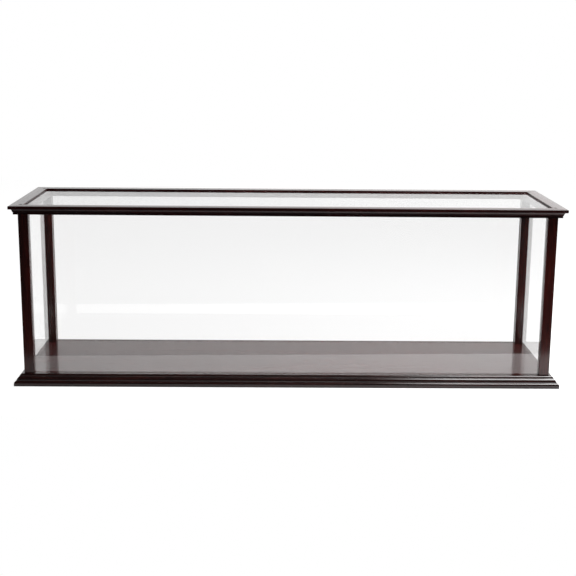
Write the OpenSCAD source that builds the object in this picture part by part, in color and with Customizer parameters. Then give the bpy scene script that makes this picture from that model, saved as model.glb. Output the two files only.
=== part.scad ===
// Display case for a ship model: a moulded base with a deck board, four corner posts,
// clear panels standing in grooves, and a screwed-on lid frame with a clear top panel.
// The origin is the middle of the underside. +X runs along the case, the front faces -Y.

/* [Case] */
// Length over the outer faces of the corner posts
case_l = 1015; // [600:1:1400]
// Depth over the outer faces of the corner posts
case_d = 247; // [160:1:450]
// Height from the deck to the underside of the lid
clear_h = 309.5; // [150:0.5:500]

/* [Corner posts] */
// Side of the square corner posts
post_w = 19; // [18:0.5:26]
// Rounding of the posts' long edges
post_ease = 0.8; // [0.3:0.1:1.5]
// Depth of the panel grooves in the posts
post_groove_d = 5; // [3:0.5:6]

/* [Clear panels] */
// Thickness of the side panels
panel_t = 3; // [2:0.1:4]
// Thickness of the top panel
top_panel_t = 3; // [2:0.1:4]
// Play between a panel and each wall of its groove
panel_play = 0.2; // [0.1:0.05:0.4]
// Play at each edge of a panel, along its own plane
edge_play = 0.5; // [0.2:0.1:1]
// Distance of a side panel's middle from the posts' outer faces
panel_in = 5.5; // [5:0.1:9.5]

/* [Base] */
// Height of the base, from the table to the deck
base_h = 22; // [18:0.5:32]
// Thickness of the deck board
deck_t = 12; // [9:0.5:15]
// Depth of the panel grooves in the deck board
deck_groove_d = 4; // [2:0.5:6]
// How far the mouldings reach in under the deck board
deck_ledge = 5; // [3:0.5:6]
// Flat margin of the moulding's top, outside the posts
margin_w = 3.4; // [1:0.1:5]
// Radius of the moulding's top bead
bead_r = 3.8; // [2:0.1:5]
// Projection of the upper ovolo, below the bead
upper_ovolo_w = 5.2; // [3:0.1:6]
// Radius of the lower ovolo, over the plinth
lower_ovolo_r = 5; // [3:0.1:5.5]
// Height of the moulding's upright plinth
plinth_h = 5; // [3:0.1:5.5]
// Height of the small upright step above each ovolo
quirk_h = 0.6; // [0.3:0.1:1]

/* [Lid] */
// Height of the lid rails
lid_h = 16.5; // [15:0.5:22]
// How far the fillet at the foot of the lid rails stands out from the posts
fillet_out = 7.2; // [5:0.1:9]
// How far the foot of the cove over the fillet stands out from the posts
cove_foot_out = 8; // [7:0.1:10]
// How far the top of the cove, under the lip, stands out from the posts
cove_top_out = 10.8; // [10:0.1:13]
// Height of the cove under the lip
cove_h = 5.8; // [4:0.1:7]
// Radius of the cove
cove_r = 12; // [8:0.5:20]
// How far the lip stands out from the posts
lip_over = 15; // [12:0.5:20]
// Thickness of the lip
lip_t = 6.2; // [3:0.1:7]
// Rounding of the lip's edges
lip_ease = 1.2; // [0.4:0.1:1.4]
// Width of the ledge that carries the top panel
rebate_w = 10.5; // [5:0.5:10.5]
// Depth of the top panel's face below the top of the rails
top_recess = 3; // [1:0.1:4]
// Depth of the panel grooves in the underside of the lid
lid_groove_d = 4; // [2:0.5:5]

/* [Mitre keys] */
// Length of a key across its mitre
key_l = 14; // [8:0.5:14]
// Width of a key along its mitre
key_w = 8; // [5:0.5:8]
// Thickness of a key
key_t = 3; // [2:0.5:3]
// Wood left between a key and the nearest screw or groove
key_cover = 3; // [1:0.5:3]
// Play of a key in its slot
key_play = 0.1; // [0.05:0.05:0.2]

/* [Screws] */
// Diameter of the screw shanks
screw_d = 3.5; // [3:0.1:4]
// Diameter of the countersunk screw heads
screw_head_d = 7; // [6:0.1:8]
// Length of the lid screws
lid_screw_l = 35; // [25:1:50]
// Length of the post screws
post_screw_l = 35; // [25:1:50]
// Play all round a screw in its hole
screw_play = 0.05; // [0.02:0.01:0.1]
// Length of a screw's point
screw_point_l = 5; // [3:0.5:8]
// Width of the arms of the cross in a screw head
cross_w = 0.9; // [0.6:0.1:1.2]
// Length of the arms of the cross in a screw head, end to end
cross_l = 3.8; // [3:0.1:4.5]
// Depth of the cross in a screw head
cross_depth = 1.2; // [0.8:0.1:1.6]
// Distance of a lid screw from its post's outer face at the end of the case
lid_screw_from_end = 4.2; // [4:0.1:4.5]
// Distance of a lid screw from its post's outer face at the front or back
lid_screw_from_front = 10.5; // [10.2:0.1:11]

/* [Hidden] */
$fn = 64;

// Finishes
mahogany = [0.19, 0.07, 0.06];
deck_brown = [0.24, 0.11, 0.09];
acrylic = [0.86, 0.91, 0.93, 0.3];
bronzed_steel = [0.22, 0.18, 0.16];
beech = [0.72, 0.55, 0.38];

// How far a cut runs past the face that it opens
cut_over = 1;

// Heights
lid_z = base_h + clear_h;
top_z = lid_z + lid_h;

// Base moulding: the upper ovolo fills the height between the lower one and the bead
bead_out = margin_w + bead_r;
upper_ovolo_out = bead_out + upper_ovolo_w;
flare = upper_ovolo_out + lower_ovolo_r;
bead_z = base_h - bead_r;
upper_ovolo_z = plinth_h + lower_ovolo_r + quirk_h;
upper_ovolo_h = bead_z - quirk_h - upper_ovolo_z;
upper_ovolo_r = (pow(upper_ovolo_h, 2) + pow(upper_ovolo_w, 2)) / (2 * upper_ovolo_w);

// Lid rails
lip_z = lid_h - lip_t;
cove_foot_z = lip_z - cove_h;
cove_w = cove_top_out - cove_foot_out;
cove_chord = sqrt(pow(cove_w, 2) + pow(cove_h, 2));
cove_centre_off = sqrt(pow(cove_r, 2) - pow(cove_chord / 2, 2));
cove_centre = [
    (cove_foot_out + cove_top_out) / 2 + cove_centre_off * cove_h / cove_chord,
    cove_foot_z + cove_h / 2 - cove_centre_off * cove_w / cove_chord
];
rebate_z = lid_h - top_recess - top_panel_t;

// Grooves and panels
slot_w = panel_t + 2 * panel_play;
groove_end_in = post_w - post_groove_d;
panel_end_in = groove_end_in + edge_play;
panel_foot_z = base_h - deck_groove_d;
panel_head_z = lid_z + lid_groove_d - edge_play;
top_panel_in = post_w - rebate_w + edge_play;

// Screws
screw_hole_d = screw_d + 2 * screw_play;
screw_cone_h = (screw_head_d - screw_d) / 2;
post_screw_in = post_w / 2;

// Mitre keys: set outside the lid screws, along the mitre
lid_screw_diagonal = (lid_screw_from_end + lid_screw_from_front) / sqrt(2);
key_in = (lid_screw_diagonal - screw_hole_d / 2 - key_cover - key_w / 2) / sqrt(2);
key_z = lid_z + lid_groove_d + key_cover / 2;

// Corner signs: [end of the case, front or back]
corners = [[-1, -1], [1, -1], [-1, 1], [1, 1]];

// Puts children drawn at the outer corner of a post, reaching in along +X and +Y, at one corner of the case
module at_corner(sign_x, sign_y) {
    translate([sign_x * case_l / 2, sign_y * case_d / 2, 0])
        mirror([sign_x > 0 ? 1 : 0, 0, 0])
            mirror([0, sign_y > 0 ? 1 : 0, 0])
                children();
}

// Rectangle with rounded corners
module eased_rectangle(size_x, size_y, ease) {
    translate([ease, 0])
        square([size_x - 2 * ease, size_y]);
    translate([0, ease])
        square([size_x, size_y - 2 * ease]);
    for (x = [ease, size_x - ease], y = [ease, size_y - ease])
        translate([x, y])
            circle(r = ease);
}

// Runs a section, drawn outwards from the posts' outer face, along the back of the case,
// with mitred ends
module mitred_long_run(reach_in, reach_out) {
    intersection() {
        translate([0, case_d / 2, 0])
            rotate([90, 0, 90])
                linear_extrude(case_l + 2 * reach_out, center = true)
                    children();
        linear_extrude(top_z)
            polygon([
                [-case_l / 2 + reach_in, case_d / 2 - reach_in],
                [case_l / 2 - reach_in, case_d / 2 - reach_in],
                [case_l / 2 + reach_out, case_d / 2 + reach_out],
                [-case_l / 2 - reach_out, case_d / 2 + reach_out]
            ]);
    }
}

// The same along the right end of the case
module mitred_end_run(reach_in, reach_out) {
    intersection() {
        translate([case_l / 2, 0, 0])
            rotate([90, 0, 0])
                linear_extrude(case_d + 2 * reach_out, center = true)
                    children();
        linear_extrude(top_z)
            polygon([
                [case_l / 2 - reach_in, case_d / 2 - reach_in],
                [case_l / 2 - reach_in, -case_d / 2 + reach_in],
                [case_l / 2 + reach_out, -case_d / 2 - reach_out],
                [case_l / 2 + reach_out, case_d / 2 + reach_out]
            ]);
    }
}

// One rounded member of the base moulding, from its inner edge out to where its arc stands upright
module rounded_step(inner_u, foot_z, width, height, radius) {
    intersection() {
        translate([inner_u + width - radius, foot_z])
            circle(r = radius);
        translate([inner_u, foot_z])
            square([width, height]);
    }
}

// Section of the base moulding, outwards from the edge of the deck board
module base_section() {
    translate([-deck_ledge, 0])
        square([deck_ledge + bead_out, base_h - deck_t]);
    square([margin_w, base_h]);
    square([bead_out, bead_z]);
    square([upper_ovolo_out, upper_ovolo_z]);
    square([flare, plinth_h]);
    rounded_step(margin_w, bead_z, bead_r, bead_r, bead_r);
    rounded_step(bead_out, upper_ovolo_z, upper_ovolo_w, upper_ovolo_h, upper_ovolo_r);
    rounded_step(upper_ovolo_out, plinth_h, lower_ovolo_r, lower_ovolo_r, lower_ovolo_r);
}

// Section of the lid rail, outwards from the posts' outer face, with its rebate
module lid_section() {
    difference() {
        union() {
            translate([-post_w, 0])
                square([post_w + fillet_out, lid_h]);
            difference() {
                translate([0, cove_foot_z])
                    square([lip_over - lip_ease, cove_h + lip_t / 2]);
                translate(cove_centre)
                    circle(r = cove_r);
            }
            translate([0, lip_z])
                eased_rectangle(lip_over, lip_t, lip_ease);
        }
        translate([-post_w - cut_over, rebate_z])
            square([rebate_w + cut_over, lid_h]);
    }
}

// Room for the four side panels' grooves, from post to post, between two heights
module panel_grooves(low_z, high_z) {
    groove_x = case_l - 2 * groove_end_in;
    groove_y = case_d - 2 * groove_end_in;
    for (side = [-1, 1]) {
        translate([-groove_x / 2, side * (case_d / 2 - panel_in) - slot_w / 2, low_z])
            cube([groove_x, slot_w, high_z - low_z]);
        translate([side * (case_l / 2 - panel_in) - slot_w / 2, -groove_y / 2, low_z])
            cube([slot_w, groove_y, high_z - low_z]);
    }
}

// Countersunk screw, head up, with the top of its head at the origin
module screw(length) {
    difference() {
        union() {
            translate([0, 0, -screw_cone_h])
                cylinder(d1 = screw_d, d2 = screw_head_d, h = screw_cone_h);
            translate([0, 0, screw_point_l - length])
                cylinder(d = screw_d, h = length - screw_point_l - screw_cone_h);
            translate([0, 0, -length])
                cylinder(d1 = 0, d2 = screw_d, h = screw_point_l);
        }
        for (turn = [0, 90])
            rotate(turn)
                translate([-cross_l / 2, -cross_w / 2, -cross_depth])
                    cube([cross_l, cross_w, cross_depth + cut_over]);
    }
}

// Room for such a screw
module screw_hole(length) {
    translate([0, 0, -screw_cone_h])
        cylinder(d1 = screw_hole_d, d2 = screw_head_d + 2 * screw_play, h = screw_cone_h);
    cylinder(d = screw_head_d + 2 * screw_play, h = cut_over);
    translate([0, 0, -length - cut_over])
        cylinder(d = screw_hole_d, h = length + cut_over);
}

// Places of the screws at one corner, measured from the post's outer corner
module at_lid_screw() {
    translate([lid_screw_from_end, lid_screw_from_front, top_z])
        children();
}

module at_post_screw() {
    translate([post_screw_in, post_screw_in, base_h - deck_t])
        mirror([0, 0, 1])
            children();
}

// A key, or with play its slot, across the mitre of one corner
module mitre_key(play) {
    translate([key_in, key_in, key_z - play])
        rotate(-45)
            translate([-key_l / 2 - play, -key_w / 2 - play, 0])
                cube([key_l + 2 * play, key_w + 2 * play, key_t + 2 * play]);
}

module deck_board() {
    color(deck_brown)
        difference() {
            translate([-case_l / 2, -case_d / 2, base_h - deck_t])
                cube([case_l, case_d, deck_t]);
            panel_grooves(panel_foot_z, base_h + cut_over);
            for (corner = corners)
                at_corner(corner[0], corner[1])
                    at_post_screw()
                        screw_hole(post_screw_l);
        }
}

module base_moulding_back() {
    color(mahogany)
        mitred_long_run(deck_ledge, flare)
            base_section();
}

module base_moulding_front() {
    mirror([0, 1, 0])
        base_moulding_back();
}

module base_moulding_right() {
    color(mahogany)
        mitred_end_run(deck_ledge, flare)
            base_section();
}

module base_moulding_left() {
    mirror([1, 0, 0])
        base_moulding_right();
}

// Corner post with its two panel grooves and the holes for its screws
module post(sign_x, sign_y) {
    color(mahogany)
        at_corner(sign_x, sign_y)
            difference() {
                translate([0, 0, base_h])
                    linear_extrude(clear_h)
                        difference() {
                            eased_rectangle(post_w, post_w, post_ease);
                            translate([groove_end_in, panel_in - slot_w / 2])
                                square([post_groove_d + cut_over, slot_w]);
                            translate([panel_in - slot_w / 2, groove_end_in])
                                square([slot_w, post_groove_d + cut_over]);
                        }
                at_lid_screw()
                    screw_hole(lid_screw_l);
                at_post_screw()
                    screw_hole(post_screw_l);
            }
}

module post_front_left() {
    post(-1, -1);
}

module post_front_right() {
    post(1, -1);
}

module post_back_left() {
    post(-1, 1);
}

module post_back_right() {
    post(1, 1);
}

module post_screws() {
    color(bronzed_steel)
        for (corner = corners)
            at_corner(corner[0], corner[1])
                at_post_screw()
                    screw(post_screw_l);
}

module front_panel() {
    length = case_l - 2 * panel_end_in;
    color(acrylic)
        translate([-length / 2, -case_d / 2 + panel_in - panel_t / 2, panel_foot_z])
            cube([length, panel_t, panel_head_z - panel_foot_z]);
}

module back_panel() {
    mirror([0, 1, 0])
        front_panel();
}

module right_panel() {
    length = case_d - 2 * panel_end_in;
    color(acrylic)
        translate([case_l / 2 - panel_in - panel_t / 2, -length / 2, panel_foot_z])
            cube([panel_t, length, panel_head_z - panel_foot_z]);
}

module left_panel() {
    mirror([1, 0, 0])
        right_panel();
}

module lid_rail_back() {
    color(mahogany)
        difference() {
            translate([0, 0, lid_z])
                mitred_long_run(post_w, lip_over)
                    lid_section();
            panel_grooves(lid_z - cut_over, lid_z + lid_groove_d);
            for (side = [-1, 1])
                at_corner(side, 1)
                    mitre_key(key_play);
        }
}

module lid_rail_front() {
    mirror([0, 1, 0])
        lid_rail_back();
}

module lid_rail_right() {
    color(mahogany)
        difference() {
            translate([0, 0, lid_z])
                mitred_end_run(post_w, lip_over)
                    lid_section();
            panel_grooves(lid_z - cut_over, lid_z + lid_groove_d);
            for (side = [-1, 1])
                at_corner(1, side) {
                    mitre_key(key_play);
                    at_lid_screw()
                        screw_hole(lid_screw_l);
                }
        }
}

module lid_rail_left() {
    mirror([1, 0, 0])
        lid_rail_right();
}

module mitre_keys() {
    color(beech)
        for (corner = corners)
            at_corner(corner[0], corner[1])
                mitre_key(0);
}

module lid_screws() {
    color(bronzed_steel)
        for (corner = corners)
            at_corner(corner[0], corner[1])
                at_lid_screw()
                    screw(lid_screw_l);
}

module top_panel() {
    length = case_l - 2 * top_panel_in;
    depth = case_d - 2 * top_panel_in;
    color(acrylic)
        translate([-length / 2, -depth / 2, lid_z + rebate_z])
            cube([length, depth, top_panel_t]);
}

deck_board();
base_moulding_front();
base_moulding_back();
base_moulding_left();
base_moulding_right();
post_front_left();
post_front_right();
post_back_left();
post_back_right();
post_screws();
front_panel();
back_panel();
left_panel();
right_panel();
lid_rail_front();
lid_rail_back();
lid_rail_left();
lid_rail_right();
mitre_keys();
lid_screws();
top_panel();
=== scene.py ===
import math
from collections import namedtuple

import bmesh
import bpy
from mathutils import Matrix, Vector


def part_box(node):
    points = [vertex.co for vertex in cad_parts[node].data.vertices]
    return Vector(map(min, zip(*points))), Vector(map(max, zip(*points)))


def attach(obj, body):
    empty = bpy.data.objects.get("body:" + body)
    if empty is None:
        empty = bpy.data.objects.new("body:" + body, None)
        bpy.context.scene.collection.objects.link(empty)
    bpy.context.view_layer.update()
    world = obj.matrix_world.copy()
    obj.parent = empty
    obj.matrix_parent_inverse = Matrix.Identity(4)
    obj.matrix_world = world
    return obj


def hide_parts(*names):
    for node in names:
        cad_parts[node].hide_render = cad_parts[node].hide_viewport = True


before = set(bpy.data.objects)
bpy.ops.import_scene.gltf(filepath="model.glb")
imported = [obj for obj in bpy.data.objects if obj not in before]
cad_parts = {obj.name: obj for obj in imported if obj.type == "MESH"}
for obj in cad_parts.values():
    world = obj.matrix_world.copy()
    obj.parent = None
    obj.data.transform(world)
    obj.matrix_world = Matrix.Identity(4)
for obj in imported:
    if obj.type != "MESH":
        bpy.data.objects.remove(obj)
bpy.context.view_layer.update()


# Deck board: the floor of the case, a 12 mm board faced with mahogany veneer and lacquered to a high gloss.
# A groove for each clear panel is routed in its top. It lies in the rebate of the base mouldings and is
# screwed up into the feet of the posts.
MM = 0.001
X_AXIS = 0
Y_AXIS = 1
Z_AXIS = 2

deck_low, deck_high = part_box("deck_board")
half_length = deck_high.x
half_depth = deck_high.y
deck_z = deck_high.z


def linear(hex_colour):
    """An sRGB hex colour as linear RGBA."""
    channels = [int(hex_colour[i : i + 2], 16) / 255 for i in (1, 3, 5)]
    curve = [c / 12.92 if c <= 0.04045 else ((c + 0.055) / 1.055) ** 2.4 for c in channels]
    return (*curve, 1.0)


def bare_tree(owner):
    """The node tree of a material, a world or a lamp, emptied."""
    owner.use_nodes = True
    owner.node_tree.nodes.clear()
    return owner.node_tree


def add_node(tree, kind, inputs, ramp=(), **settings):
    """Adds a node. An input is a value or the socket that feeds it. A ramp is a row of stops and colours."""
    node = tree.nodes.new(kind)
    for name, value in settings.items():
        setattr(node, name, value)
    for name, value in inputs.items():
        if isinstance(value, bpy.types.NodeSocket):
            tree.links.new(value, node.inputs[name])
        else:
            node.inputs[name].default_value = value
    for i, (stop, colour) in enumerate(ramp):
        stops = node.color_ramp.elements
        point = stops[i] if i < len(stops) else stops.new(stop)
        point.position = stop
        point.color = colour
    return node


def lacquered_mahogany(name, grain_axis, ribbon_w, stains, pore_tone, coat, top_coat, gloss_roughness):
    """Mahogany stained a very dark red-brown and sprayed with clear gloss lacquer, rubbed out flat.

    The eye sees the backdrop mirrored in the lacquer, and under it soft ribbons of darker and redder wood
    along the grain with fine dark pores. The pores are about 0.3 mm wide and are drawn 1 mm wide to show.
    Level tops can be rubbed to more gloss (top_coat) than upright and moulded faces (coat).
    """
    ribbon_stretch = 14
    ribbon_stops = (0.3, 0.52, 0.72)
    pore_w = 1 * MM
    pore_stretch = 24
    pore_depth = 0.04 * MM
    pore_dark = 0.34
    pore_clear = 0.48
    top_lean = 0.8

    material = bpy.data.materials.new(name)
    tree = bare_tree(material)
    ribbon_scale = [1.0, 1.0, 1.0]
    ribbon_scale[grain_axis] = 1 / ribbon_stretch
    pore_scale = [1.0, 1.0, 1.0]
    pore_scale[grain_axis] = 1 / pore_stretch
    place = add_node(tree, "ShaderNodeTexCoord", {}).outputs["Object"]
    along_ribbon = add_node(tree, "ShaderNodeMapping", {"Vector": place, "Scale": ribbon_scale})
    along_pore = add_node(tree, "ShaderNodeMapping", {"Vector": place, "Scale": pore_scale})
    ribbon = add_node(
        tree,
        "ShaderNodeTexNoise",
        {
            "Vector": along_ribbon.outputs["Vector"],
            "Scale": 1 / ribbon_w,
            "Detail": 2.0,
            "Roughness": 0.5,
            "Distortion": 0.5,
        },
    )
    pores = add_node(
        tree,
        "ShaderNodeTexNoise",
        {"Vector": along_pore.outputs["Vector"], "Scale": 1 / pore_w, "Detail": 1.0},
    )
    stain = add_node(
        tree,
        "ShaderNodeValToRGB",
        {"Fac": ribbon.outputs["Fac"]},
        ramp=[(stop, linear(colour)) for stop, colour in zip(ribbon_stops, stains)],
    )
    pore_shade = add_node(
        tree,
        "ShaderNodeValToRGB",
        {"Fac": pores.outputs["Fac"]},
        ramp=[(pore_dark, linear(pore_tone)), (pore_clear, linear("#FFFFFF"))],
    )
    wood = add_node(
        tree,
        "ShaderNodeMixRGB",
        {"Fac": 1.0, "Color1": stain.outputs["Color"], "Color2": pore_shade.outputs["Color"]},
        blend_type="MULTIPLY",
    )
    sheen = add_node(
        tree,
        "ShaderNodeMapRange",
        {"Value": pores.outputs["Fac"], "To Min": 0.5, "To Max": 0.35},
    )
    grain = add_node(
        tree,
        "ShaderNodeBump",
        {"Height": pores.outputs["Fac"], "Strength": 0.4, "Distance": pore_depth},
    )
    facing = add_node(tree, "ShaderNodeNewGeometry", {}).outputs["Normal"]
    upwards = add_node(tree, "ShaderNodeSeparateXYZ", {"Vector": facing})
    lacquer = add_node(
        tree,
        "ShaderNodeMapRange",
        {
            "Value": upwards.outputs["Z"],
            "From Min": top_lean,
            "From Max": 1.0,
            "To Min": coat,
            "To Max": top_coat,
        },
    )
    surface = add_node(
        tree,
        "ShaderNodeBsdfPrincipled",
        {
            "Base Color": wood.outputs["Color"],
            "Roughness": sheen.outputs["Result"],
            "IOR": 1.5,
            "Specular IOR Level": 0.1,
            "Normal": grain.outputs["Normal"],
            "Coat Weight": lacquer.outputs["Result"],
            "Coat Roughness": gloss_roughness,
            "Coat IOR": 1.5,
        },
    )
    add_node(tree, "ShaderNodeOutputMaterial", {"Surface": surface.outputs["BSDF"]})
    return material


deck_veneer = lacquered_mahogany(
    "lacquered_mahogany_veneer",
    X_AXIS,
    ribbon_w=24 * MM,
    stains=("#2F0F0C", "#36110E", "#3F1511"),
    pore_tone="#DCD6D4",
    coat=1.0,
    top_coat=1.0,
    gloss_roughness=0.04,
)
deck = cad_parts["deck_board"]
deck.data.materials.clear()
deck.data.materials.append(deck_veneer)


# Base mouldings: four lengths of solid mahogany, run on a spindle moulder with a bead and two ovolos over an
# upright plinth, mitred at the corners and glued round the deck board, which they carry on a ledge.
moulding_low, moulding_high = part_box("base_moulding_front")
flare = -moulding_low.y - half_depth
deck_ledge = moulding_high.y + half_depth
margin_w = 3.4 * MM
bead_r = 3.8 * MM
upper_ovolo_w = 5.2 * MM
plinth_h = 5 * MM
quirk_h = 0.6 * MM
moulding_arris = 0.2 * MM

bead_out = margin_w + bead_r
bead_z = deck_z - bead_r
upper_ovolo_out = bead_out + upper_ovolo_w
lower_ovolo_r = flare - upper_ovolo_out
upper_ovolo_z = plinth_h + lower_ovolo_r + quirk_h
upper_ovolo_h = bead_z - quirk_h - upper_ovolo_z
upper_ovolo_r = (upper_ovolo_h**2 + upper_ovolo_w**2) / (2 * upper_ovolo_w)
upper_ovolo_sweep = math.degrees(math.asin(upper_ovolo_h / upper_ovolo_r))

Run = namedtuple("Run", "along outwards grain_axis half_run reach")
RUNS = {
    "front": Run(Vector((1, 0, 0)), Vector((0, -1, 0)), X_AXIS, half_length, half_depth),
    "back": Run(Vector((-1, 0, 0)), Vector((0, 1, 0)), X_AXIS, half_length, half_depth),
    "left": Run(Vector((0, -1, 0)), Vector((-1, 0, 0)), Y_AXIS, half_depth, half_length),
    "right": Run(Vector((0, 1, 0)), Vector((1, 0, 0)), Y_AXIS, half_depth, half_length),
}


def arc(centre_u, centre_v, radius, start, end, step=7.5):
    """Points round an arc, from the start angle to the end angle in degrees."""
    count = max(2, math.ceil(abs(end - start) / step))
    angles = [math.radians(start + (end - start) * i / count) for i in range(count + 1)]
    return [(centre_u + radius * math.cos(a), centre_v + radius * math.sin(a)) for a in angles]


def skinned(rings):
    """A closed shape over a row of rings, each with as many points as the next."""
    shape = bmesh.new()
    rows = [[shape.verts.new(point) for point in ring] for ring in rings]
    for lower, upper in zip(rows, rows[1:]):
        for i in range(len(lower)):
            shape.faces.new([lower[i - 1], lower[i], upper[i], upper[i - 1]])
    shape.faces.new(rows[0])
    shape.faces.new(rows[-1])
    return shape


def mitred_run(section, run):
    """Runs a section along one side with mitred ends. It is given outwards from the posts, and upwards."""
    rings = []
    for end in (-1, 1):
        rings.append(
            [
                run.outwards * (run.reach + u) + run.along * end * (run.half_run + u) + Vector((0, 0, z))
                for u, z in section
            ]
        )
    return skinned(rings)


def solid_piece(name, shape):
    """Makes an object of a closed shape, smooth on its rounds and sharp at its corners."""
    smooth_below = math.radians(30)
    bmesh.ops.recalc_face_normals(shape, faces=shape.faces)
    mesh = bpy.data.meshes.new(name)
    shape.to_mesh(mesh)
    shape.free()
    mesh.shade_smooth()
    mesh.set_sharp_from_angle(angle=smooth_below)
    piece = bpy.data.objects.new(name, mesh)
    bpy.context.scene.collection.objects.link(piece)
    return piece


def ease_arrises(piece, arris):
    """Breaks the sharp corners of a piece with a small round."""
    ease = piece.modifiers.new("eased_arris", "BEVEL")
    ease.width = arris
    ease.segments = 2
    ease.limit_method = "ANGLE"
    ease.angle_limit = math.radians(30)
    ease.use_clamp_overlap = False
    ease.harden_normals = True


base_section = [
    (-deck_ledge, 0.0),
    (flare, 0.0),
    *arc(upper_ovolo_out, plinth_h, lower_ovolo_r, 0, 90),
    *arc(upper_ovolo_out - upper_ovolo_r, upper_ovolo_z, upper_ovolo_r, 0, upper_ovolo_sweep),
    *arc(margin_w, bead_z, bead_r, 0, 90),
    (0.0, deck_z),
    (0.0, deck_low.z),
    (-deck_ledge, deck_low.z),
]
grain_names = ("x", "y")
# The mouldings' stain is the wood's dark red-brown, drawn much darker than the posts' as painted shade for
# the dim light on the base.
moulded_mahogany_painted_shade = [
    lacquered_mahogany(
        f"lacquered_mahogany_{grain_names[axis]}",
        axis,
        ribbon_w=9 * MM,
        stains=("#1B0806", "#240A08", "#300F0B"),
        pore_tone="#B8AEAC",
        coat=1.0,
        top_coat=1.0,
        gloss_roughness=0.03,
    )
    for axis in (X_AXIS, Y_AXIS)
]

for side, run in RUNS.items():
    moulding = solid_piece(f"moulding_{side}", mitred_run(base_section, run))
    ease_arrises(moulding, moulding_arris)
    moulding.data.materials.append(moulded_mahogany_painted_shade[run.grain_axis])
    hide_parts(f"base_moulding_{side}")
    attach(moulding, "base")


# Corner posts: 19 mm square mahogany, planed and eased on its long edges, with a groove in each of the two
# inner faces for the panels. Each stands on the deck board, bored below for its own screw and above for the
# lid's.
post_low, post_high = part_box("post_front_left")
panel_low, panel_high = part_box("front_panel")
post_w = post_high.x - post_low.x
post_ease = 0.8 * MM
post_arris = 0.25 * MM
panel_play = 0.2 * MM
edge_play = 0.5 * MM
groove_near = panel_low.y - panel_play + half_depth
groove_far = panel_high.y + panel_play + half_depth
groove_end_in = panel_low.x - edge_play + half_length

screw_shank_r = 1.75 * MM
screw_head_r = 3.5 * MM
screw_play = 0.05 * MM
screw_hole_r = screw_shank_r + screw_play
past_face = 1 * MM
lid_screw_low, lid_screw_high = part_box("lid_screws")
lid_screw_from_end = half_length + lid_screw_low.x + screw_head_r
lid_screw_from_front = half_depth + lid_screw_low.y + screw_head_r
post_screw_low, post_screw_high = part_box("post_screws")
post_screw_in = half_length + post_screw_low.x + screw_head_r

post_section = [
    *arc(post_ease, post_ease, post_ease, 180, 270, step=15),
    *arc(post_w - post_ease, post_ease, post_ease, 270, 360, step=15),
    (post_w, groove_near),
    (groove_end_in, groove_near),
    (groove_end_in, groove_far),
    (post_w, groove_far),
    *arc(post_w - post_ease, post_w - post_ease, post_ease, 0, 90, step=15),
    (groove_far, post_w),
    (groove_far, groove_end_in),
    (groove_near, groove_end_in),
    (groove_near, post_w),
    *arc(post_ease, post_w - post_ease, post_ease, 90, 180, step=15),
]
post_holes = (
    (lid_screw_from_end, lid_screw_from_front, lid_screw_low.z - past_face, post_high.z + past_face),
    (post_screw_in, post_screw_in, post_low.z - past_face, post_screw_high.z + past_face),
)

CORNERS = {
    "front_left": (-1, -1),
    "front_right": (1, -1),
    "back_left": (-1, 1),
    "back_right": (1, 1),
}


def from_corner(corner, x, y, z):
    """A place measured inwards from a post's outer corner."""
    sign_x, sign_y = CORNERS[corner]
    return Vector((sign_x * (half_length - x), sign_y * (half_depth - y), z))


def round_ring(radius, z, sides):
    """Points round a level circle about the upright axis."""
    angles = [2 * math.pi * i / sides for i in range(sides)]
    return [Vector((radius * math.cos(a), radius * math.sin(a), z)) for a in angles]


def turned(profile, at, sides=32):
    """A closed shape turned about an upright axis from its radii and heights, from the bottom up."""
    return skinned([[at + point for point in round_ring(radius, z, sides)] for radius, z in profile])


def cut(shape, tool):
    """The shape with the tool's volume taken out."""
    objects = []
    for solid in (shape, tool):
        bmesh.ops.recalc_face_normals(solid, faces=solid.faces)
        mesh = bpy.data.meshes.new("stock")
        solid.to_mesh(mesh)
        solid.free()
        objects.append(bpy.data.objects.new("stock", mesh))
        bpy.context.scene.collection.objects.link(objects[-1])
    stock, cutter = objects
    boring = stock.modifiers.new("boring", "BOOLEAN")
    boring.operation = "DIFFERENCE"
    boring.solver = "EXACT"
    boring.object = cutter
    bored = stock.evaluated_get(bpy.context.evaluated_depsgraph_get())
    result = bmesh.new()
    result.from_mesh(bored.to_mesh())
    for solid in objects:
        mesh = solid.data
        bpy.data.objects.remove(solid)
        bpy.data.meshes.remove(mesh)
    return result


post_mahogany = lacquered_mahogany(
    "lacquered_mahogany_z",
    Z_AXIS,
    ribbon_w=9 * MM,
    stains=("#300D0A", "#40110D", "#531711"),
    pore_tone="#B8AEAC",
    coat=0.8,
    top_coat=0.8,
    gloss_roughness=0.16,
)
for corner in CORNERS:
    shape = skinned(
        [[from_corner(corner, x, y, z) for x, y in post_section] for z in (post_low.z, post_high.z)]
    )
    for x, y, hole_low, hole_high in post_holes:
        bore = [(screw_hole_r, hole_low), (screw_hole_r, hole_high)]
        shape = cut(shape, turned(bore, from_corner(corner, x, y, 0.0)))
    post = solid_piece(f"corner_post_{corner}", shape)
    ease_arrises(post, post_arris)
    post.data.materials.append(post_mahogany)
    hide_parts(f"post_{corner}")
    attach(post, "base")


# Post screws: countersunk wood screws of bronzed steel with a rolled thread and a cross recess.
# One goes up through the deck board into the foot of each post.
screw_cone_h = screw_head_r - screw_shank_r
screw_rim_h = 0.15 * MM
screw_core_r = 1.2 * MM
screw_pitch = 1.5 * MM
screw_ridge_share = 0.3
screw_thread_share = 0.6
screw_point_l = 5 * MM
screw_tip_r = 0.1 * MM
cross_w = 0.9 * MM
cross_l = 3.8 * MM
cross_depth = 1.2 * MM
cross_foot_share = 0.5

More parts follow.
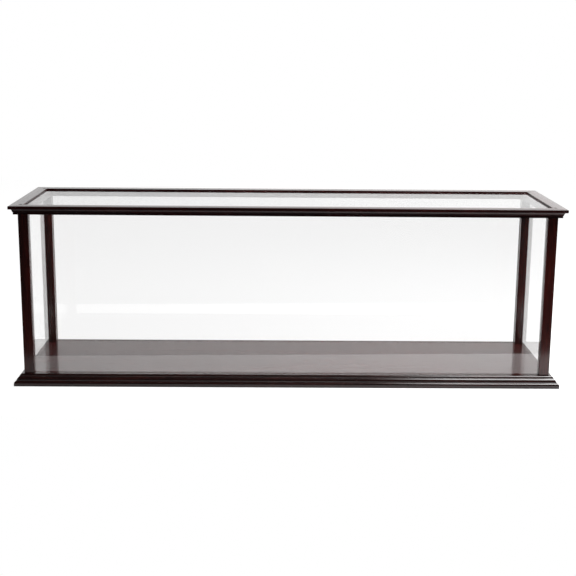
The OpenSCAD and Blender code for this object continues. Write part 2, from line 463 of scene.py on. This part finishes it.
# Steel dipped in a bronzing bath: a thin dark brown skin, blotched, with the metal's satin gloss under it.
bronze_mottle_w = 1.2 * MM
bronzed_steel = bpy.data.materials.new("bronzed_steel")
bronze_tree = bare_tree(bronzed_steel)
bronze_place = add_node(bronze_tree, "ShaderNodeTexCoord", {}).outputs["Object"]
bronze_mottle = add_node(
    bronze_tree, "ShaderNodeTexNoise", {"Vector": bronze_place, "Scale": 1 / bronze_mottle_w, "Detail": 3.0}
)
bronze_colour = add_node(
    bronze_tree,
    "ShaderNodeValToRGB",
    {"Fac": bronze_mottle.outputs["Fac"]},
    ramp=[(0.35, linear("#2B2420")), (0.7, linear("#57483C"))],
)
bronze_polish = add_node(
    bronze_tree,
    "ShaderNodeMapRange",
    {"Value": bronze_mottle.outputs["Fac"], "To Min": 0.45, "To Max": 0.7},
)
bronze_surface = add_node(
    bronze_tree,
    "ShaderNodeBsdfPrincipled",
    {
        "Base Color": bronze_colour.outputs["Color"],
        "Metallic": 1.0,
        "Roughness": bronze_polish.outputs["Result"],
    },
)
add_node(bronze_tree, "ShaderNodeOutputMaterial", {"Surface": bronze_surface.outputs["BSDF"]})


def wood_screw(length):
    """One screw, standing on its point with the top of its head at the origin."""
    sides = 24
    rings_a_turn = 8
    thread_l = screw_thread_share * length
    steps = round(thread_l / screw_pitch) * rings_a_turn
    rings = []
    for step in range(steps + 1):
        up = thread_l * step / steps
        taper = min(1.0, up / screw_point_l)
        fade = min(1.0, (thread_l - up) / screw_pitch)
        ring = []
        for i in range(sides):
            across = (up / screw_pitch - i / sides) % 1.0
            ridge = fade * max(0.0, 1 - abs(across - 0.5) / screw_ridge_share)
            radius = screw_core_r + ridge * (screw_shank_r - screw_core_r)
            radius = max(screw_tip_r, taper * radius)
            angle = 2 * math.pi * i / sides
            ring.append((radius * math.cos(angle), radius * math.sin(angle), up - length))
        rings.append(ring)
    for radius, z in (
        (screw_shank_r, thread_l + screw_rim_h - length),
        (screw_shank_r, -screw_cone_h),
        (screw_head_r, -screw_rim_h),
        (screw_head_r - screw_rim_h, 0.0),
    ):
        rings.append(round_ring(radius, z, sides))
    shape = skinned(rings)
    for turn in (0, math.pi / 2):
        arm = bmesh.new()
        bmesh.ops.create_cube(arm, size=1.0)
        for vert in arm.verts:
            at_top = vert.co.z > 0
            vert.co.x *= cross_l if at_top else cross_l * cross_foot_share
            vert.co.y *= cross_w
            vert.co.z = past_face if at_top else -cross_depth
        bmesh.ops.rotate(arm, verts=arm.verts, matrix=Matrix.Rotation(turn, 3, "Z"))
        shape = cut(shape, arm)
    return shape


def screw_set(name, length, placings):
    """One piece that holds a screw at each placing."""
    screw = bpy.data.meshes.new("screw")
    shape = wood_screw(length)
    shape.to_mesh(screw)
    shape.free()
    together = bmesh.new()
    for placing in placings:
        copy = screw.copy()
        copy.transform(placing)
        together.from_mesh(copy)
        bpy.data.meshes.remove(copy)
    bpy.data.meshes.remove(screw)
    piece = solid_piece(name, together)
    piece.data.materials.append(bronzed_steel)
    return piece


head_down = Matrix.Rotation(math.pi, 4, "X")
post_screws = screw_set(
    "threaded_post_screws",
    post_screw_high.z - post_screw_low.z,
    [
        Matrix.Translation(from_corner(corner, post_screw_in, post_screw_in, post_screw_low.z)) @ head_down
        for corner in CORNERS
    ],
)
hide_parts("post_screws")
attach(post_screws, "base")


# Side panels: four sheets of 3 mm cast acrylic, saw-cut, with their edges scraped and polished. They drop
# into the grooves of the posts and stand in those of the deck board, held by nothing but the lid.
panel_edge = 0.3 * MM


def cast_acrylic(name):
    """Clear cast acrylic with its factory polish and the faint smears of a wiping cloth.

    The eye sees straight through it, with a weak second image of whatever is in front of it.
    """
    smear_w = 70 * MM
    smear_from = 0.45
    smear_full = 0.75
    smear_roughness = 0.012

    material = bpy.data.materials.new(name)
    tree = bare_tree(material)
    place = add_node(tree, "ShaderNodeTexCoord", {}).outputs["Object"]
    smears = add_node(tree, "ShaderNodeTexNoise", {"Vector": place, "Scale": 1 / smear_w, "Detail": 3.0})
    polish = add_node(
        tree,
        "ShaderNodeMapRange",
        {
            "Value": smears.outputs["Fac"],
            "From Min": smear_from,
            "From Max": smear_full,
            "To Min": 0.0,
            "To Max": smear_roughness,
        },
    )
    surface = add_node(
        tree,
        "ShaderNodeBsdfPrincipled",
        {
            "Base Color": linear("#FFFFFF"),
            "Roughness": polish.outputs["Result"],
            "IOR": 1.49,
            "Transmission Weight": 1.0,
        },
    )
    add_node(tree, "ShaderNodeOutputMaterial", {"Surface": surface.outputs["BSDF"]})
    return material


acrylic = cast_acrylic("clear_cast_acrylic")


def acrylic_sheet(name, node, air_below=0.0):
    """A sheet the size of a panel, its edges eased, with a film of air left under it.

    It lets all the light through to what is inside.
    """
    low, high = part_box(node)
    low.z += air_below
    placing = Matrix.Translation((low + high) / 2) @ Matrix.Diagonal((*(high - low), 1))
    shape = bmesh.new()
    bmesh.ops.create_cube(shape, size=1.0, matrix=placing)
    sheet = solid_piece(name, shape)
    ease_arrises(sheet, panel_edge)
    sheet.data.materials.append(acrylic)
    sheet.visible_shadow = False
    sheet.visible_diffuse = False
    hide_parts(node)
    return sheet


for side in RUNS:
    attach(acrylic_sheet(f"sheet_{side}", f"{side}_panel"), "base")


# Lid rails: four lengths of mahogany run to a small crown, with a lip over a cove over a fillet and a
# rebate for the top panel. A groove below, stopped at the posts, takes the side panel. They are mitred,
# keyed and glued, and their flat tops are rubbed out to more gloss than the profile.
rail_low, rail_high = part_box("lid_rail_front")
top_low, top_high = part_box("top_panel")
lip_over = -rail_low.y - half_depth
lid_groove_z = panel_high.z + edge_play
rebate_wall = half_depth - top_high.y - edge_play
fillet_out = 7.2 * MM
cove_foot_out = 8 * MM
cove_top_out = 10.8 * MM
cove_h = 5.8 * MM
cove_r = 12 * MM
lip_t = 6.2 * MM
lip_ease = 1.2 * MM
rail_arris = 0.2 * MM

lip_z = rail_high.z - lip_t
cove_foot_z = lip_z - cove_h
cove_chord = Vector((cove_top_out - cove_foot_out, cove_h))
cove_off = math.sqrt(cove_r**2 - (cove_chord.length / 2) ** 2) / cove_chord.length
cove_u = (cove_foot_out + cove_top_out) / 2 + cove_off * cove_chord.y
cove_v = cove_foot_z + cove_h / 2 - cove_off * cove_chord.x
cove_start = math.degrees(math.atan2(cove_foot_z - cove_v, cove_foot_out - cove_u))
cove_end = math.degrees(math.atan2(lip_z - cove_v, cove_top_out - cove_u))
lid_section = [
    (-post_w, rail_low.z),
    (fillet_out, rail_low.z),
    (fillet_out, cove_foot_z),
    *arc(cove_u, cove_v, cove_r, cove_start, cove_end),
    *arc(lip_over - lip_ease, lip_z + lip_ease, lip_ease, -90, 0, step=15),
    *arc(lip_over - lip_ease, rail_high.z - lip_ease, lip_ease, 0, 90, step=15),
    (-rebate_wall, rail_high.z),
    (-rebate_wall, top_low.z),
    (-post_w, top_low.z),
]
countersink = [
    (screw_hole_r, rail_low.z - past_face),
    (screw_hole_r, rail_high.z - screw_cone_h),
    (screw_head_r + screw_play, rail_high.z),
    (screw_head_r + screw_play, rail_high.z + past_face),
]
rail_mahogany = [
    lacquered_mahogany(
        f"lacquered_mahogany_rail_{grain_names[axis]}",
        axis,
        ribbon_w=9 * MM,
        stains=("#26090A", "#330D0C", "#441411"),
        pore_tone="#B8AEAC",
        coat=0.5,
        top_coat=1.0,
        gloss_roughness=0.14,
    )
    for axis in (X_AXIS, Y_AXIS)
]

groove_foot = Vector((0, 0, rail_low.z - past_face))
groove_rise = Vector((0, 0, lid_groove_z - rail_low.z + past_face))
for side, run in RUNS.items():
    groove_run = run.along * (run.half_run - groove_end_in)
    groove = bmesh.new()
    for groove_side in (groove_near, groove_far):
        foot = run.outwards * (run.reach - groove_side) + groove_foot
        for rise in (Vector(), groove_rise):
            groove.verts.new(foot + rise - groove_run)
            groove.verts.new(foot + rise + groove_run)
    bmesh.ops.convex_hull(groove, input=groove.verts)
    shape = cut(mitred_run(lid_section, run), groove)
    for corner in CORNERS:
        if corner.endswith(side):
            at = from_corner(corner, lid_screw_from_end, lid_screw_from_front, 0.0)
            shape = cut(shape, turned(countersink, at))
    rail = solid_piece(f"rail_{side}", shape)
    ease_arrises(rail, rail_arris)
    rail.data.materials.append(rail_mahogany[run.grain_axis])
    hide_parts(f"lid_rail_{side}")
    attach(rail, "lid")


# Mitre keys: small slips of beech glued across the mitres inside the lid rails, where they don't show.
# They are sawn to size and left bare, so the eye sees pale wood with fine darker flecks.
beech_fleck_w = 1.5 * MM
beech = bpy.data.materials.new("sawn_beech")
beech_tree = bare_tree(beech)
beech_place = add_node(beech_tree, "ShaderNodeTexCoord", {}).outputs["Object"]
beech_flecks = add_node(
    beech_tree, "ShaderNodeTexNoise", {"Vector": beech_place, "Scale": 1 / beech_fleck_w, "Detail": 2.0}
)
beech_colour = add_node(
    beech_tree,
    "ShaderNodeValToRGB",
    {"Fac": beech_flecks.outputs["Fac"]},
    ramp=[(0.35, linear("#C39A6B")), (0.65, linear("#DCBB8F"))],
)
beech_surface = add_node(
    beech_tree,
    "ShaderNodeBsdfPrincipled",
    {"Base Color": beech_colour.outputs["Color"], "Roughness": 0.7},
)
add_node(beech_tree, "ShaderNodeOutputMaterial", {"Surface": beech_surface.outputs["BSDF"]})
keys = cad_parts["mitre_keys"]
keys.data.materials.clear()
keys.data.materials.append(beech)


# Lid screws: the same wood screws of bronzed steel, countersunk in the side rails near the mitres.
# They go down through the lid into the tops of the posts and rise with the lid.
lid_screws = screw_set(
    "threaded_lid_screws",
    lid_screw_high.z - lid_screw_low.z,
    [
        Matrix.Translation(from_corner(corner, lid_screw_from_end, lid_screw_from_front, lid_screw_high.z))
        for corner in CORNERS
    ],
)
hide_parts("lid_screws")
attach(lid_screws, "lid")


# Top panel: one sheet of the same acrylic, laid loose in the rebate of the lid. The thin film of air between
# it and the ledge makes its underside shine like its top.
top_air = 0.1 * MM
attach(acrylic_sheet("sheet_top", "top_panel", air_below=top_air), "top_panel")


# Table: a white paper-covered top that ends a little ahead of the case, not quite square to it, and keeps
# the case's soft shadow. Seen straight or through the panels it is white. Mirrored, it shows as lit paper
# with a painted glow added to it, which grows towards the right and towards its front edge.
table_ahead = 0.204
table_skew = 0.035
table_reach = 3.0
table_drop = 0.2 * MM
# The painted glow on the mirrored paper: its strength at the right edge and its colour.
gleam_right = 1.0
gleam_colour = "#EFEFEF"
mirrored_paper = "#F4F4F4"
shaded_straight = "#A4A4A4"
shaded_through = "#707070"
white_straight = "#EFEFEF"
white_through = "#F8F8F8"

table_front = half_depth + table_ahead
table_corners = [
    (-table_reach, -table_front + table_skew * table_reach),
    (table_reach, -table_front - table_skew * table_reach),
    (table_reach, table_reach),
    (-table_reach, table_reach),
]
table_shape = bmesh.new()
table_shape.faces.new([table_shape.verts.new((x, y, -table_drop)) for x, y in table_corners])
table_mesh = bpy.data.meshes.new("table")
table_shape.to_mesh(table_mesh)
table_shape.free()
table = bpy.data.objects.new("table", table_mesh)
bpy.context.scene.collection.objects.link(table)

paper = bpy.data.materials.new("white_paper")
paper_tree = bare_tree(paper)
paper_rays = add_node(paper_tree, "ShaderNodeLightPath", {})
paper_seen = add_node(
    paper_tree,
    "ShaderNodeMath",
    {0: paper_rays.outputs["Is Camera Ray"], 1: paper_rays.outputs["Is Transmission Ray"]},
    operation="MAXIMUM",
)
paper_place = add_node(paper_tree, "ShaderNodeTexCoord", {}).outputs["Object"]
paper_axes = add_node(paper_tree, "ShaderNodeSeparateXYZ", {"Vector": paper_place})
paper_across = add_node(
    paper_tree,
    "ShaderNodeMapRange",
    {
        "Value": paper_axes.outputs["X"],
        "From Min": -half_length,
        "From Max": half_length,
        "To Max": gleam_right,
    },
)
paper_ahead = add_node(
    paper_tree,
    "ShaderNodeMapRange",
    {
        "Value": paper_axes.outputs["Y"],
        "From Min": -half_depth - flare,
        "From Max": -table_front,
        "To Max": paper_rays.outputs["Is Glossy Ray"],
    },
)
# Painted light: an emission on the paper, seen only by mirrored rays, stronger to the right and towards the
# front edge.
paper_gleam = add_node(
    paper_tree,
    "ShaderNodeMath",
    {0: paper_across.outputs["Result"], 1: paper_ahead.outputs["Result"]},
    operation="MULTIPLY",
)
paper_lit = add_node(paper_tree, "ShaderNodeBsdfDiffuse", {"Color": linear(mirrored_paper)})
paper_painted_glow = add_node(
    paper_tree,
    "ShaderNodeEmission",
    {"Color": linear(gleam_colour), "Strength": paper_gleam.outputs["Value"]},
)
paper_mirrored = add_node(
    paper_tree, "ShaderNodeAddShader", {0: paper_lit.outputs["BSDF"], 1: paper_painted_glow.outputs["Emission"]}
)
paper_shade_tone = add_node(
    paper_tree,
    "ShaderNodeMixRGB",
    {
        "Fac": paper_rays.outputs["Is Camera Ray"],
        "Color1": linear(shaded_through),
        "Color2": linear(shaded_straight),
    },
)
paper_white_tone = add_node(
    paper_tree,
    "ShaderNodeMixRGB",
    {
        "Fac": paper_rays.outputs["Is Camera Ray"],
        "Color1": linear(white_through),
        "Color2": linear(white_straight),
    },
)
paper_shade = add_node(paper_tree, "ShaderNodeBsdfDiffuse", {"Color": paper_shade_tone.outputs["Color"]})
paper_white = add_node(
    paper_tree, "ShaderNodeEmission", {"Color": paper_white_tone.outputs["Color"], "Strength": 1.0}
)
paper_shown = add_node(
    paper_tree, "ShaderNodeAddShader", {0: paper_shade.outputs["BSDF"], 1: paper_white.outputs["Emission"]}
)
paper_mix = add_node(
    paper_tree,
    "ShaderNodeMixShader",
    {0: paper_seen.outputs["Value"], 1: paper_mirrored.outputs["Shader"], 2: paper_shown.outputs["Shader"]},
)
add_node(paper_tree, "ShaderNodeOutputMaterial", {"Surface": paper_mix.outputs["Shader"]})
table.data.materials.append(paper)


# Studio: a white backdrop behind the case, brighter to the right, and a dim room in front of it. The
# lacquer mirrors both, the backdrop as a narrower one. Seen straight or through the panels the backdrop is
# plain white. A long lamp with a soft left edge hangs overhead at the right.
room_front = "#3C3A3A"
backdrop_left = "#DFDFDF"
backdrop_right = "#FFFFFF"
backdrop_blend = 0.25
backdrop_starts = 0.05
backdrop_full = 0.45
mirrored_narrowing = 0.45
most_bounces = 1.5
softbox_w = 0.75
softbox_l = 1.4
softbox_watts = 44.0
softbox_soft_edge = 0.45
softbox_at = (0.64, -0.15, 1.4)

world = bpy.data.worlds.new("studio")
bpy.context.scene.world = world
world_tree = bare_tree(world)
world_way = add_node(world_tree, "ShaderNodeTexCoord", {}).outputs["Generated"]
world_axes = add_node(world_tree, "ShaderNodeSeparateXYZ", {"Vector": world_way})
world_across = add_node(
    world_tree,
    "ShaderNodeMapRange",
    {"Value": world_axes.outputs["X"], "From Min": -backdrop_blend, "From Max": backdrop_blend},
)
world_backdrop = add_node(
    world_tree,
    "ShaderNodeMixRGB",
    {
        "Fac": world_across.outputs["Result"],
        "Color1": linear(backdrop_left),
        "Color2": linear(backdrop_right),
    },
)
world_rays = add_node(world_tree, "ShaderNodeLightPath", {})
world_depth = add_node(
    world_tree,
    "ShaderNodeMath",
    {0: world_rays.outputs["Is Glossy Ray"], 1: -mirrored_narrowing, 2: world_axes.outputs["Y"]},
    operation="MULTIPLY_ADD",
)
world_back = add_node(
    world_tree,
    "ShaderNodeMapRange",
    {"Value": world_depth.outputs["Value"], "From Min": backdrop_starts, "From Max": backdrop_full},
    interpolation_type="SMOOTHSTEP",
)
world_colour = add_node(
    world_tree,
    "ShaderNodeMixRGB",
    {
        "Fac": world_back.outputs["Result"],
        "Color1": linear(room_front),
        "Color2": world_backdrop.outputs["Color"],
    },
)
world_bounces = add_node(
    world_tree,
    "ShaderNodeMath",
    {0: world_rays.outputs["Ray Depth"], 1: world_rays.outputs["Transmission Depth"]},
    operation="SUBTRACT",
)
world_straight = add_node(
    world_tree, "ShaderNodeMath", {0: world_bounces.outputs["Value"], 1: most_bounces}, operation="LESS_THAN"
)
world_through = add_node(
    world_tree,
    "ShaderNodeMath",
    {0: world_straight.outputs["Value"], 1: world_rays.outputs["Is Transmission Ray"]},
    operation="MULTIPLY",
)
world_seen = add_node(
    world_tree,
    "ShaderNodeMath",
    {0: world_through.outputs["Value"], 1: world_rays.outputs["Is Camera Ray"]},
    operation="MAXIMUM",
)
world_shown = add_node(
    world_tree,
    "ShaderNodeMixRGB",
    {
        "Fac": world_seen.outputs["Value"],
        "Color1": world_colour.outputs["Color"],
        "Color2": linear("#FFFFFF"),
    },
)
world_light = add_node(
    world_tree, "ShaderNodeBackground", {"Color": world_shown.outputs["Color"], "Strength": 1.0}
)
add_node(world_tree, "ShaderNodeOutputWorld", {"Surface": world_light.outputs["Background"]})

softbox_light = bpy.data.lights.new("softbox", "AREA")
softbox_light.shape = "RECTANGLE"
softbox_light.size = softbox_w
softbox_light.size_y = softbox_l
softbox_light.energy = softbox_watts
softbox_tree = bare_tree(softbox_light)
softbox_place = add_node(softbox_tree, "ShaderNodeNewGeometry", {}).outputs["Parametric"]
softbox_across = add_node(softbox_tree, "ShaderNodeSeparateXYZ", {"Vector": softbox_place})
softbox_fade = add_node(
    softbox_tree,
    "ShaderNodeMapRange",
    {"Value": softbox_across.outputs["X"], "From Min": 0.0, "From Max": softbox_soft_edge},
    interpolation_type="SMOOTHSTEP",
)
softbox_glow = add_node(softbox_tree, "ShaderNodeEmission", {"Strength": softbox_fade.outputs["Result"]})
add_node(softbox_tree, "ShaderNodeOutputLight", {"Surface": softbox_glow.outputs["Emission"]})
softbox = bpy.data.objects.new("softbox", softbox_light)
softbox.location = softbox_at
softbox.visible_camera = False
softbox.visible_transmission = False
bpy.context.scene.collection.objects.link(softbox)


# Camera: the photograph's own place and lens, worked out from the corners of the case. The angles are in
# radians: turned to the right, tilted down and rolled.
camera_at = Vector((-0.0300, -2.2123, 0.6581))
camera_yaw = 0.01415
camera_pitch = 0.21919
camera_roll = 0.00897
camera_lens = 70.3
camera_film_w = 36.0

camera_data = bpy.data.cameras.new("camera")
camera_data.sensor_width = camera_film_w
camera_data.lens = camera_lens
camera = bpy.data.objects.new("camera", camera_data)
camera.matrix_world = (
    Matrix.Translation(camera_at)
    @ Matrix.Rotation(-camera_yaw, 4, "Z")
    @ Matrix.Rotation(math.pi / 2 - camera_pitch, 4, "X")
    @ Matrix.Rotation(camera_roll, 4, "Z")
)
bpy.context.scene.collection.objects.link(camera)
bpy.context.scene.camera = camera
bpy.context.scene.view_settings.view_transform = "Standard"
